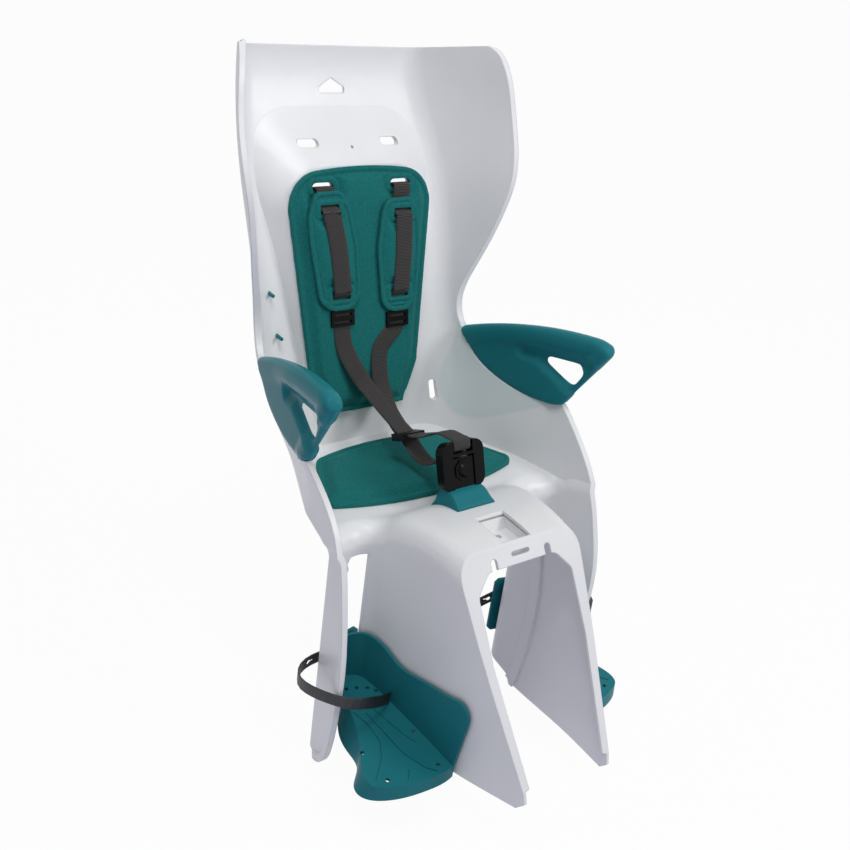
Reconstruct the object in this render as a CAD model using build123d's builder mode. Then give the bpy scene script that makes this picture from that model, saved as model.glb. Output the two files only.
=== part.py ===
import math
import os

from build123d import *

os.makedirs("parts", exist_ok=True)

# Driving dimensions in millimetres
# The origin is the carrier bolt hole under the pommel, -Y is the front and +X is the child's left
WALL = 4.0
RIM = 7.5
RIM_BAND = 9.0
BACK_LEAN = 12.0
FRONT_SLOPE = 32.4
BUCKLE_LEAN = 20.0
FOOT_SLOPE = 8.0
WEBBING = 25.0
WEB_T = 1.6
ADJUSTER_W = 34.0
ADJUSTER_H = 20.0
ADJUSTER_T = 6.0
ADJUSTER_D = 4.4
LADDER_SLOT = 3.8
LADDER_STEP = 4.8
STRAP_W = 15.0
PAD_T = 9.0
PAD_BEVEL = 2.0
PAD_TOP = 660.5
PAD_CORNER = 45.0
PAD_FLANK = 24.0
SOLE_T = 4.0
SKIRT_Z = -253.0
BOLT_R = 4.3
HALF_X = 320.0
WING_X = 125.0
TOOTH_RUN = 8.0
PAN_EDGE = 26.0
CAP_BASE = 64.0
CAP_TOP = 51.0
CAP_H = 34.0
POCKET_X = 21.0
STRAP_X = 57.6
SLOT_W = 31.0
SLOT_H = 11.0
SLOT_CORNER = 3.0
STRAP_S = 637.0
TOP_BACK = (520, 456)
CORNER_LOW = (326.5, 474)
CORNER_MIDDLE = (334.6, 485)
CORNER_HIGH = (349, 492.3)
BUTTON_R = 9.0
PEG_R = 2.5
LOCK_PEG_R = 4.5
KEYHOLE_R = 3.2
KEYHOLE_W = 2.6
KEYHOLE_L = 8.0
KEYHOLES = [(34.8, -19.3), (55, -20.6), (-24.6, -8.5)]
LOCK_PEG = (-7, -15.5)
PEGS = [(-126, 352, 193), (-119, 336, 141)]
MIDDLE = (-2, 188, 45)

# Height, back line, back half width, knee half width, knee line and front half width of the torso space
TORSO = [
    (-40, 278, 104, 163, 150, 260),
    (0, 288, 110, 165, 150, 262),
    (85, 311, 141, 187, 140, 226),
    (157, 333, 143, 186, 215, 232),
    (255, 362, 143, 180, 275, 240),
    (338, 398, 142, 191, 280, 240),
    (415, 436, 131, 195, 300, 250),
    (505, 440, 127, 206, 285, 260),
]
# Pan and pommel line on the middle plane, from the back to the front
PAN = [(112, -4), (84, 8), (46, 19), (10, 22), (-60, 15), (-320, 0)]
# Leg side of the wheel shield, seen from above
SHIELD = [(66, -182), (77, -128), (84, -90), (89, -50), (95, 0), (102, 45)]
# Front edge of the wings and outer walls, seen from the side
WING_EDGE = [
    (341, 494),
    (320, 461),
    (308, 422),
    (292, 375),
    (283, 338),
    (285, 296),
    (294, 252),
    (307, 205),
    (313, 168),
    (307, 144),
    (288, 120),
    (262, 98),
    (233, 86),
    (198, 79),
    (155, 78),
    (118, 86),
]
LEG_EDGE = [
    (118, 86),
    (84, 60),
    (50, 24),
    (23, -40),
    (9, -105),
    (9, -180),
    (17, -240),
    (34, -284),
    (60, -303),
]

# Half outlines of the front arch and its opening, on the sloping front plane
ARCH_OUT = [(72, -2), (87.5, -20), (86, -52), (81.4, -113), (77.3, -155), (70.4, -220), (64.8, -271)]
ARCH_IN = [(57, -268), (70, -128), (70, -48), (50, -25)]

# Right half of the back pad outline, across and up the back
PAD_HALF = [(60, 346), (84, 400), (109, 650)]
# Outer edge of the left footrest: the sole on its sloping plane, and the skirt on the level below
SOLE_EDGE = [
    (150, -4),
    (153, -22),
    (158, -50),
    (165, -75),
    (174, -97),
    (182, -112),
    (190, -129),
    (194, -144),
    (191, -156),
    (179, -163),
    (156, -170),
    (130, -174),
    (104, -174),
    (89, -172),
]
SKIRT_EDGE = [
    (150, 80),
    (157, 60),
    (170, 34),
    (176, 5),
    (180, -21),
    (192, -35),
    (200, -46),
    (201, -59),
    (194, -70),
    (182, -78),
    (154, -87),
    (129, -90),
    (105, -90),
    (89, -86.3),
]
# Inner wall and heel plate of the left footrest, seen from above
FOOT_WALL = [(88, -99), (92.8, -57), (99.8, 0), (106.5, 42), (110.5, 62), (118.5, 79), (131, 84.5), (151, 80)]
# Top edge of that wall, seen from the side
WALL_TOP = [
    (110, -151),
    (75, -149),
    (51, -151),
    (37, -156),
    (22, -162),
    (0, -162),
    (-32, -156),
    (-66, -150),
    (-86, -148),
    (-94, -156),
    (-96, -171),
    (-92, -196),
]
# Hollow under the sole, and the grooves on it
HOLLOW = [
    (109, -46),
    (114, -26),
    (130, -8),
    (145, -10),
    (154, -60),
    (178, -114),
    (189, -145),
    (176, -158),
    (95, -168),
]
DRAINS = [
    (145, -20),
    (132, -23),
    (119.5, -29),
    (112, -37),
    (178, -110),
    (105, -110),
    (172, -155),
    (106, -163),
]
GROOVES = [
    [(156, -55), (150, -79), (150.5, -105), (162, -127), (184, -149)],
    [(143, -61), (139.6, -89), (134.5, -131), (122.6, -159), (112, -170)],
    [(131, -61), (124.4, -88), (117, -113), (111, -125)],
    [(141.6, -154), (150, -165)],
]
# Foot strap from the strap tail over the peg to the inner wall
FOOT_STRAP = [
    (89, 110.3, -196),
    (107, 106.3, -189),
    (125.5, 102.2, -182),
    (143, 98.3, -179),
    (165, 95, -178),
    (186, 91, -176.5),
    (204, 81, -175.5),
    (214, 66, -174),
    (216, 45, -170),
    (211, 24, -166),
    (201, 5, -164),
    (186, -4, -168),
    (166, -4, -175),
    (147, 3, -187),
    (127, 13, -200),
    (107, 26, -213),
]
# Outlines of the shoulder pads, across and up the back
PAD_LEFT = [
    (32, 619),
    (68, 620),
    (79, 606),
    (81, 550),
    (75, 490),
    (62, 474),
    (34, 474),
    (20, 486),
    (15, 555),
    (23, 606),
]
PAD_RIGHT = [
    (-37, 633),
    (-76, 632),
    (-86, 600),
    (-84, 570),
    (-73, 498),
    (-56, 484),
    (-26, 484),
    (-13, 498),
    (-15, 560),
    (-25, 610),
]
# Webbing paths: across, up the back and forwards of it, then in the frame of the part
LEFT_ON_BACK = [
    (57.6, 637, -26),
    (57.6, 637, -6),
    (57.5, 636.5, 3),
    (57, 632.5, 6.2),
    (56, 622, 6),
    (54.6, 610, 5.6),
    (54.3, 605.5, 6.8),
    (54, 598, 15.2),
    (53.7, 592, 16),
    (52.7, 553, 16.2),
    (48.8, 508, 16),
    (48.4, 502, 15.2),
    (48, 494.5, 6.8),
    (47.7, 490, 5.6),
    (47, 476, 6.6),
    (46.3, 463, 7),
    (44, 452, 7),
    (31, 440, 7.6),
    (19, 424, 8),
    (16, 397, 10),
    (17, 373, 16),
]
LEFT_FREE = [(14, 255, 48), (6, 224, 43.5), (1, 203, 42), (0, 188, 41.5)]
RIGHT_ON_BACK = [
    (-57.6, 637, -26),
    (-57.6, 637, -6),
    (-57.5, 636.5, 3),
    (-57.4, 632.5, 6.2),
    (-57, 627, 5.8),
    (-56, 620, 5.6),
    (-55.4, 615.5, 6.8),
    (-54.6, 608, 15.2),
    (-54, 602, 16),
    (-46.2, 561, 16.2),
    (-41.6, 513, 16),
    (-41.2, 507, 15.2),
    (-40.6, 499.5, 6.8),
    (-40.2, 495, 5.6),
    (-38.8, 482, 6.6),
    (-38.2, 473.3, 7),
    (-38.2, 464, 7),
    (-38.6, 452, 7.2),
    (-35, 431, 8.4),
    (-24.6, 407, 13),
]
RIGHT_FREE = [(-11, 276, 76), (-4, 247, 60), (-2, 218, 51), (-2, 202, 48), (-2, 188, 45.8)]
# Buckle loop seen from the side
LOOP = [
    (186, 49.4),
    (170, 53.5),
    (152, 62),
    (134, 75),
    (120, 82.5),
    (108, 84.8),
    (100.2, 85.8),
    (94.6, 87),
    (90.3, 87.1),
    (87.6, 83.4),
    (86.4, 78.9),
    (87.3, 75.5),
    (92, 73.1),
    (98.4, 70.3),
    (104, 63),
    (115, 47),
    (131, 34),
    (150, 28),
    (168, 31.5),
    (186, 38.6),
]

COS_B = math.cos(math.radians(BACK_LEAN))
SIN_B = math.sin(math.radians(BACK_LEAN))
COS_F = math.cos(math.radians(FRONT_SLOPE))
SIN_F = math.sin(math.radians(FRONT_SLOPE))
COS_K = math.cos(math.radians(BUCKLE_LEAN))
SIN_K = math.sin(math.radians(BUCKLE_LEAN))
COS_T = math.cos(math.radians(FOOT_SLOPE))
SIN_T = math.sin(math.radians(FOOT_SLOPE))

BACK = Plane(origin=(0, 216.2, -301.6), x_dir=(1, 0, 0), z_dir=(0, -COS_B, SIN_B))
FRONT = Plane(origin=(0, -33, 18), x_dir=(1, 0, 0), z_dir=(0, -COS_F, SIN_F))
BUCKLE = Plane(origin=(0, 72, 24), x_dir=(1, 0, 0), z_dir=(0, -COS_K, SIN_K))
FOOT = Plane(origin=(0, 84, -212), x_dir=(1, 0, 0), z_dir=(0, -SIN_T, COS_T))
ARM = Plane(origin=(155, 292, 0), x_dir=(0.191, -0.982, 0), z_dir=(-0.982, -0.191, 0))
LOCK = Plane(origin=(131, 94.9, -197.5), x_dir=(0.976, -0.217, 0), z_dir=(0.217, 0.976, 0))


def on_back(x, s, d):
    # A point at height s along the back and d in front of it
    return (x, 216.2 + s * SIN_B - d * COS_B, -301.6 + s * COS_B + d * SIN_B)


def torso_space(grow):
    # The room for the child's back and seat, made larger on all sides by the growth
    with BuildPart() as room:
        for z, back_y, back_w, knee_w, knee_y, front_w in TORSO:
            with BuildSketch(Plane.XY.offset(z)):
                with BuildLine():
                    Polyline(
                        (-front_w - grow, -300),
                        (-knee_w - grow, knee_y),
                        (-back_w - grow, back_y + grow),
                        (back_w + grow, back_y + grow),
                        (knee_w + grow, knee_y),
                        (front_w + grow, -300),
                        close=True,
                    )
                make_face()
                fillet(vertices().filter_by(lambda v: abs(abs(v.X) - knee_w - grow) < 0.01), radius=70)
                fillet(vertices().filter_by(lambda v: abs(v.Y - back_y - grow) < 0.01), radius=34)
        loft()
    return room.part


def back_bulge(grow):
    # The raised panel behind the back pad, with the helmet ledge as its sloping top
    with BuildPart() as bulge:
        for depth, low_w, high_w, top, corner in ((-5, 64, 113, 664, 60), (-75, 118, 166, 745, 85)):
            with BuildSketch(BACK.offset(depth - grow)):
                with BuildLine():
                    Polyline(
                        (-low_w + grow, 280),
                        (low_w - grow, 280),
                        (high_w - grow, top - grow),
                        (-high_w + grow, top - grow),
                        close=True,
                    )
                make_face()
                fillet(vertices().sort_by(Axis.Y)[-2:], radius=corner)
        loft(ruled=True)
        fillet(bulge.faces().sort_by(Axis((0, 0, 0), BACK.z_dir))[-1].edges(), radius=12)
    return bulge.part


def leg_space(grow):
    # The channel for one leg, open to the front and below
    with BuildPart() as channel:
        with BuildSketch(Plane.XY.offset(-420)):
            with BuildLine():
                inner = [(x - grow, y) for x, y in SHIELD]
                Line((inner[0][0] - 8, -320), inner[0])
                Spline(inner)
                Polyline(
                    inner[-1],
                    (111 - grow, 95 + grow),
                    (174 + grow, 81 + grow),
                    (191 + grow, 10),
                    (204 + grow, -320),
                    (inner[0][0] - 8, -320),
                )
            make_face()
            fillet(vertices().filter_by(lambda v: abs(v.X - 111 + grow) < 0.1), radius=28 + grow)
            fillet(vertices().filter_by(lambda v: abs(v.X - 174 - grow) < 0.1 and v.Y > 0), radius=8 + grow)
        extrude(amount=450)
    return channel.part


def pan_block(grow):
    # Everything below the seat pan and pommel, with a soft edge towards the leg channels
    with BuildPart() as block:
        with BuildSketch(Plane.YZ.offset(-HALF_X)):
            with BuildLine():
                line = [(y, z - grow) for y, z in PAN]
                Spline(line, tangents=((-1, 0), (-1, -0.06)))
                Polyline(line[-1], (-320, -200), (500, -200), (500, PAN[0][1] - grow), line[0])
            make_face()
        extrude(amount=2 * HALF_X)
        add(leg_space(grow), mode=Mode.SUBTRACT)
        add(mirror(leg_space(grow), about=Plane.YZ), mode=Mode.SUBTRACT)
        mouth = [
            e
            for e in block.edges()
            if e.bounding_box().min.Z > -30
            and e.bounding_box().max.Z < 26
            and -290 < e.center().Y < 110
            and abs(e.center().X) < 230
        ]
        fillet(mouth, radius=PAN_EDGE - grow)
    return block.part


def child_space(grow):
    with BuildPart() as space:
        add(torso_space(grow))
        add(leg_space(grow))
        add(mirror(leg_space(grow), about=Plane.YZ))
        add(pan_block(grow), mode=Mode.SUBTRACT)
        add(back_bulge(grow), mode=Mode.SUBTRACT)
    return space.part


def along(points, width, thick, side, count):
    # A flat band laid along the points, its width close to the side direction
    with BuildLine() as path:
        Spline(points)
    with BuildPart() as band:
        for i in range(count + 1):
            ahead = path.line % (i / count)
            across = Vector(*side) - ahead * ahead.dot(Vector(*side))
            with BuildSketch(Plane(origin=path.line @ (i / count), x_dir=across, z_dir=ahead)):
                Rectangle(width, thick)
        loft(ruled=True)
    return band.part


# Seat shell, one moulding
with BuildPart() as seat_shell:
    # Thick rim along the wings and outer walls
    add(child_space(RIM))
    with BuildSketch(Plane.YZ.offset(-HALF_X)):
        with BuildLine():
            Spline(WING_EDGE)
            Spline(LEG_EDGE)
        trace(line_width=2 * RIM_BAND)
    extrude(amount=2 * HALF_X, mode=Mode.INTERSECT)
    # Wall of even thickness
    add(child_space(WALL))
    add(child_space(0), mode=Mode.SUBTRACT)
    # Front and lower outline of the wings and outer walls
    for start in (-HALF_X, WING_X):
        with BuildSketch(Plane.YZ.offset(start)):
            with BuildLine():
                Spline(WING_EDGE)
                Spline(LEG_EDGE)
                Polyline(LEG_EDGE[-1], (520, -303), (520, -520), (-420, -520))
                Polyline((-420, -520), (-420, 620), (341, 620), WING_EDGE[0])
            make_face()
        extrude(amount=HALF_X - WING_X, mode=Mode.SUBTRACT)
    # Top edge and the rounded upper corner of the wings
    with BuildSketch(Plane.YZ.offset(-HALF_X)):
        with BuildLine():
            Polyline(WING_EDGE[0], TOP_BACK, (520, 620), (341, 620), close=True)
        make_face()
        with BuildLine():
            ThreePointArc(CORNER_LOW, CORNER_MIDDLE, CORNER_HIGH)
            Polyline(CORNER_HIGH, (CORNER_HIGH[0], 500), (320, 500), (320, CORNER_LOW[1]), CORNER_LOW)
        make_face()
    extrude(amount=2 * HALF_X, mode=Mode.SUBTRACT)
    # Outline of the wheel shields
    with BuildSketch(Plane.YZ.offset(-WING_X)):
        with BuildLine():
            Polyline(
                (5, 78),
                (-178, -210.5),
                (-182, -224),
                (-172, -236),
                (-84, -251),
                (22, -268),
                (27, -262),
                (520, -262),
                (520, -520),
                (-420, -520),
                (-420, 78),
                close=True,
            )
        make_face()
    extrude(amount=2 * WING_X, mode=Mode.SUBTRACT)
    with BuildSketch(Plane.XZ.offset(-150)):
        with BuildLine():
            Polyline((WING_X, -262), (182, -303), (182, -330), (WING_X, -330), close=True)
        make_face()
        mirror(about=Plane.YZ)
    extrude(amount=110, mode=Mode.SUBTRACT)
    # Front arch with its slot and two notches
    with BuildSketch(FRONT):
        with BuildLine():
            Polyline((0, ARCH_OUT[0][1]), *ARCH_OUT, *ARCH_IN, (0, ARCH_IN[-1][1]), close=True)
        make_face()
        fillet(vertices().filter_by(lambda v: (v.X, v.Y) in ARCH_OUT[:2]), radius=10)
        fillet(vertices().filter_by(lambda v: (v.X, v.Y) in ARCH_IN[2:]), radius=14)
        mirror(about=Plane.YZ)
        with Locations((0, -13)):
            SlotOverall(27, 5.5, mode=Mode.SUBTRACT)
        with Locations((40, -22), (-40, -22)):
            SlotOverall(20, 9, rotation=90, mode=Mode.SUBTRACT)
    extrude(amount=-WALL)
    # Pocket in the pommel for the carrier bolt
    with BuildSketch(Plane.YZ.offset(-POCKET_X - 3.5)):
        with BuildLine():
            Polyline((33, 16), (13, 0), (-32, 0), (-35, 14), close=True)
        make_face()
    extrude(amount=2 * POCKET_X + 7)
    with BuildSketch(Plane.YZ.offset(-POCKET_X)):
        with BuildLine():
            Polyline((27, 30), (10, WALL), (-28.5, WALL), (-31, 30), close=True)
        make_face()
    extrude(amount=2 * POCKET_X, mode=Mode.SUBTRACT)
    with BuildSketch(Plane.XY.offset(-5)):
        Circle(BOLT_R)
    extrude(amount=12, mode=Mode.SUBTRACT)
    # Shoulder strap slots and the two small holes between them
    with BuildSketch(BACK.offset(10)):
        with Locations((STRAP_X, STRAP_S), (-STRAP_X, STRAP_S)):
            Rectangle(SLOT_W, SLOT_H)
        chamfer(vertices(), length=SLOT_CORNER)
    extrude(amount=-34, mode=Mode.SUBTRACT)
    with BuildSketch(BACK.offset(-10)):
        with Locations((60.4, 688), (-60.4, 688)):
            Rectangle(SLOT_W - 2, SLOT_H - 1)
        chamfer(vertices(), length=SLOT_CORNER)
        with Locations((0, 667), (0, 682)):
            RegularPolygon(1.9, 8)
    extrude(amount=-52, mode=Mode.SUBTRACT)
    # Hanging hole in the top panel
    with BuildSketch(Plane.XZ.offset(-400)):
        with BuildLine():
            Polyline((-19, 415), (-19, 422), (0, 433), (19, 422), (19, 415), close=True)
        make_face()
        fillet(vertices(), radius=3)
    extrude(amount=-80, mode=Mode.SUBTRACT)
    # Lap strap slots beside the back pad
    with BuildSketch(Plane.XZ.offset(-240)):
        with Locations((116, 41), (-116, 41)):
            Rectangle(10, 26)
        chamfer(vertices(), length=2.5)
    extrude(amount=-100, mode=Mode.SUBTRACT)
    # Toothed slots for the footrests
    with BuildSketch(Plane.XZ.offset(-60)):
        with BuildLine():
            teeth = [(147 - 3 * (i % 2), -46 - TOOTH_RUN * i) for i in range(26)]
            Polyline((118, -38), (143, -38), *teeth, (143, -258), (118, -258), close=True)
        make_face()
        mirror(about=Plane.YZ)
    extrude(amount=-60, mode=Mode.SUBTRACT)
    # Holes of the two small pegs
    for x, y, z in PEGS:
        with BuildSketch(Plane(origin=(x, y + 10, z), x_dir=(1, 0, 0), z_dir=(0, -1, 0))):
            RegularPolygon(PEG_R, 8)
        extrude(amount=60, mode=Mode.SUBTRACT)
seat_shell.part.label = "seat_shell"
export_step(seat_shell.part, "parts/seat_shell.step")

# Back pad
with BuildPart() as back_pad:
    with BuildSketch(BACK.offset(-5)):
        with BuildLine():
            Polyline((0, PAD_HALF[0][1]), *PAD_HALF)
            ThreePointArc(PAD_HALF[-1], (0, PAD_TOP), (-PAD_HALF[-1][0], PAD_HALF[-1][1]))
            Polyline(*[(-x, s) for x, s in reversed(PAD_HALF)], (0, PAD_HALF[0][1]))
        make_face()
        fillet(vertices().sort_by(Axis.Y)[-2:], radius=PAD_CORNER)
        fillet(vertices().filter_by(lambda v: (abs(v.X), v.Y) in PAD_HALF[:2]), radius=PAD_FLANK)
        with BuildSketch(mode=Mode.PRIVATE) as slots:
            with Locations((STRAP_X, STRAP_S), (-STRAP_X, STRAP_S)):
                Rectangle(SLOT_W, SLOT_H)
            chamfer(vertices(), length=SLOT_CORNER)
        add(slots.sketch, mode=Mode.SUBTRACT)
    extrude(amount=PAD_T)
    chamfer(back_pad.faces().sort_by(Axis((0, 0, 0), BACK.z_dir))[-1].outer_wire().edges(), length=PAD_BEVEL)
back_pad.part.label = "back_pad"
export_step(back_pad.part, "parts/back_pad.step")

# Seat pad
with BuildPart() as seat_pad:
    with BuildSketch(Plane.XY.offset(PAN[0][1])):
        with BuildLine():
            ThreePointArc((-100, 245), (0, 261), (100, 245))
            Line((100, 245), (150, 146))
            ThreePointArc((150, 146), (0, 117.5), (-150, 146))
            Line((-150, 146), (-100, 245))
        make_face()
        fillet(vertices(), radius=16)
    extrude(amount=PAD_T)
    chamfer(seat_pad.faces().sort_by(Axis.Z)[-1].edges(), length=PAD_BEVEL)
seat_pad.part.label = "seat_pad"
export_step(seat_pad.part, "parts/seat_pad.step")

# Shoulder webbing, woven through the slits of the shoulder pads
web_left = [on_back(*p) for p in LEFT_ON_BACK] + LEFT_FREE
web_right = [on_back(*p) for p in RIGHT_ON_BACK] + RIGHT_FREE
with BuildPart() as shoulder_strap_left:
    add(along(web_left, WEBBING, WEB_T, (1, 0, 0), 52))
shoulder_strap_left.part.label = "shoulder_strap_left"
export_step(shoulder_strap_left.part, "parts/shoulder_strap_left.step")

with BuildPart() as shoulder_strap_right:
    add(along(web_right, WEBBING, WEB_T, (1, 0, 0), 52))
shoulder_strap_right.part.label = "shoulder_strap_right"
export_step(shoulder_strap_right.part, "parts/shoulder_strap_right.step")

# Shoulder pads
with BuildPart() as shoulder_pad_left:
    with BuildSketch(BACK.offset(8)):
        with BuildLine():
            Polyline(*PAD_LEFT, close=True)
        make_face()
        chamfer(vertices(), length=4.5)
        with Locations((54, 601), (48, 498)):
            Rectangle(32, 15, mode=Mode.SUBTRACT)
    extrude(amount=6)
shoulder_pad_left.part.label = "shoulder_pad_left"
export_step(shoulder_pad_left.part, "parts/shoulder_pad_left.step")

with BuildPart() as shoulder_pad_right:
    with BuildSketch(BACK.offset(8)):
        with BuildLine():
            Polyline(*PAD_RIGHT, close=True)
        make_face()
        chamfer(vertices(), length=4.5)
        with Locations((-55, 611), (-41, 503)):
            Rectangle(32, 15, mode=Mode.SUBTRACT)
    extrude(amount=6)
shoulder_pad_right.part.label = "shoulder_pad_right"
export_step(shoulder_pad_right.part, "parts/shoulder_pad_right.step")

# Strap adjusters
with BuildPart() as strap_adjuster_left:
    with BuildSketch(BACK.offset(ADJUSTER_D)):
        with Locations((46, 463)):
            Rectangle(ADJUSTER_W, ADJUSTER_H)
    extrude(amount=ADJUSTER_T)
    with BuildSketch(BACK.offset(ADJUSTER_D + ADJUSTER_T)):
        with Locations((46, 463)):
            with GridLocations(0, 2 * LADDER_STEP, 1, 2):
                Rectangle(WEBBING, LADDER_SLOT)
    extrude(amount=-ADJUSTER_T / 2, mode=Mode.SUBTRACT)
    add(shoulder_strap_left.part, mode=Mode.SUBTRACT)
strap_adjuster_left.part.label = "strap_adjuster_left"
export_step(strap_adjuster_left.part, "parts/strap_adjuster_left.step")

with BuildPart() as strap_adjuster_right:
    with BuildSketch(BACK.offset(ADJUSTER_D)):
        with Locations((-38.2, 473)):
            Rectangle(ADJUSTER_W, ADJUSTER_H)
    extrude(amount=ADJUSTER_T)
    with BuildSketch(BACK.offset(ADJUSTER_D + ADJUSTER_T)):
        with Locations((-38.2, 473)):
            with GridLocations(0, 2 * LADDER_STEP, 1, 2):
                Rectangle(WEBBING, LADDER_SLOT)
    extrude(amount=-ADJUSTER_T / 2, mode=Mode.SUBTRACT)
    add(shoulder_strap_right.part, mode=Mode.SUBTRACT)
strap_adjuster_right.part.label = "strap_adjuster_right"
export_step(strap_adjuster_right.part, "parts/strap_adjuster_right.step")

# Buckle webbing, a loop from the middle adjuster over the buckle bar and back
with BuildPart() as buckle_strap:
    add(along([(0, y, z) for y, z in LOOP], WEBBING, WEB_T, (1, 0, 0), 44))
buckle_strap.part.label = "buckle_strap"
export_step(buckle_strap.part, "parts/buckle_strap.step")

# Middle strap adjuster
with BuildPart() as strap_adjuster_middle:
    with BuildSketch(Plane(origin=MIDDLE, x_dir=(1, 0, 0), z_dir=(0, 0.4, 0.92))):
        Rectangle(35, 24)
    extrude(amount=4.5, both=True)
    add(shoulder_strap_left.part, mode=Mode.SUBTRACT)
    add(shoulder_strap_right.part, mode=Mode.SUBTRACT)
    add(buckle_strap.part, mode=Mode.SUBTRACT)
strap_adjuster_middle.part.label = "strap_adjuster_middle"
export_step(strap_adjuster_middle.part, "parts/strap_adjuster_middle.step")

# Teal cap at the foot of the buckle
with BuildPart() as buckle_cap:
    with BuildSketch(Plane.YZ.offset(-CAP_BASE / 2)):
        with BuildLine():
            Polyline((44, 10), (44, 22.5), (62, 33), (86, 33), (90, 4), close=True)
        make_face()
        with BuildLine():
            Spline(PAN, tangents=((-1, 0), (-1, -0.06)))
            Polyline(PAN[-1], (-320, -60), (PAN[0][0], -60), PAN[0])
        make_face(mode=Mode.SUBTRACT)
    extrude(amount=CAP_BASE)
    with BuildSketch(Plane.XZ.offset(-100)):
        with BuildLine():
            ends = [(-CAP_BASE / 2, 0), (CAP_BASE / 2, 0), (CAP_TOP / 2, CAP_H), (-CAP_TOP / 2, CAP_H)]
            Polyline(*ends, close=True)
        make_face()
    extrude(amount=100, mode=Mode.INTERSECT)
    fillet(buckle_cap.edges().filter_by(Axis.X).sort_by(Axis.Z)[-2:], radius=5)
buckle_cap.part.label = "buckle_cap"
export_step(buckle_cap.part, "parts/buckle_cap.step")

# Buckle post with the round seat of the button
with BuildPart() as buckle_post:
    with BuildSketch(BUCKLE.offset(-4)):
        with Locations((0, 24)):
            Rectangle(30, 40)
    extrude(amount=9)
    with BuildSketch(BUCKLE.offset(5)):
        with Locations((0, 29)):
            RegularPolygon(13.5, 8, rotation=22.5)
    extrude(amount=2)
    with BuildSketch(BUCKLE.offset(7)):
        with Locations((0, 29)):
            Circle(BUTTON_R + 0.1)
    extrude(amount=-7.5, mode=Mode.SUBTRACT)
    add(buckle_cap.part, mode=Mode.SUBTRACT)
buckle_post.part.label = "buckle_post"
export_step(buckle_post.part, "parts/buckle_post.step")

# Release button
with BuildPart() as buckle_button:
    with BuildSketch(BUCKLE.offset(3.5)):
        with Locations((0, 29)):
            Circle(BUTTON_R)
    extrude(amount=7)
    chamfer(buckle_button.faces().sort_by(Axis((0, 0, 0), BUCKLE.z_dir))[-1].edges(), length=2.5)
buckle_button.part.label = "buckle_button"
export_step(buckle_button.part, "parts/buckle_button.step")

# Buckle frame with the webbing bar
with BuildPart() as buckle_frame:
    with BuildSketch(BUCKLE.offset(-7)):
        with Locations((0, 35)):
            RectangleRounded(62, 58, 13)
        with Locations((0, 22)):
            Rectangle(31.4, 50, mode=Mode.SUBTRACT)
        with Locations((0, 53)):
            Rectangle(29, 6, mode=Mode.SUBTRACT)
    extrude(amount=14)
    # Thinner bar for the webbing
    for depth in (3, -9):
        with BuildSketch(BUCKLE.offset(depth)):
            with Locations((0, 61)):
                Rectangle(29, 11)
        extrude(amount=6, mode=Mode.SUBTRACT)
    add(buckle_cap.part, mode=Mode.SUBTRACT)
buckle_frame.part.label = "buckle_frame"
export_step(buckle_frame.part, "parts/buckle_frame.step")

# Armrest of the child's left side, its lower face on the shell edge
with BuildPart() as armrest_left:
    with BuildSketch(ARM.offset(-10)):
        with BuildLine():
            Spline((-3, 131), (26, 143.5), (62, 157), (99, 168.5), (139, 178.5), (178, 185.5), (214, 189.5))
            Polyline((214, 189.5), (228, 187), (233.5, 176), (175.5, 83), (150, 50), (-3, 50), (-3, 131))
        make_face()
    extrude(amount=15)
    ends = armrest_left.edges().filter_by(lambda e: e.center().Z > 125 and e.bounding_box().size.Y > 6)
    chamfer(ends, length=4)
    with BuildSketch(ARM.offset(-20)):
        with BuildLine():
            Polyline((126, 139), (207, 151), (188, 115), close=True)
        make_face()
        fillet(vertices().sort_by(Axis.X)[0], radius=5)
        fillet(vertices().sort_by(Axis.X)[-1], radius=9)
        fillet(vertices().sort_by(Axis.Y)[0], radius=9)
    extrude(amount=40, mode=Mode.SUBTRACT)
    with BuildSketch(Plane.YZ.offset(100)):
        with BuildLine():
            Spline(WING_EDGE)
            Polyline(WING_EDGE[-1], (110, 30), (420, 30), (420, 494), WING_EDGE[0])
        make_face()
    extrude(amount=160, mode=Mode.SUBTRACT)
armrest_left.part.label = "armrest_left"
export_step(armrest_left.part, "parts/armrest_left.step")

with BuildPart() as armrest_right:
    add(mirror(armrest_left.part, about=Plane.YZ))
armrest_right.part.label = "armrest_right"
export_step(armrest_right.part, "parts/armrest_right.step")

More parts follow.
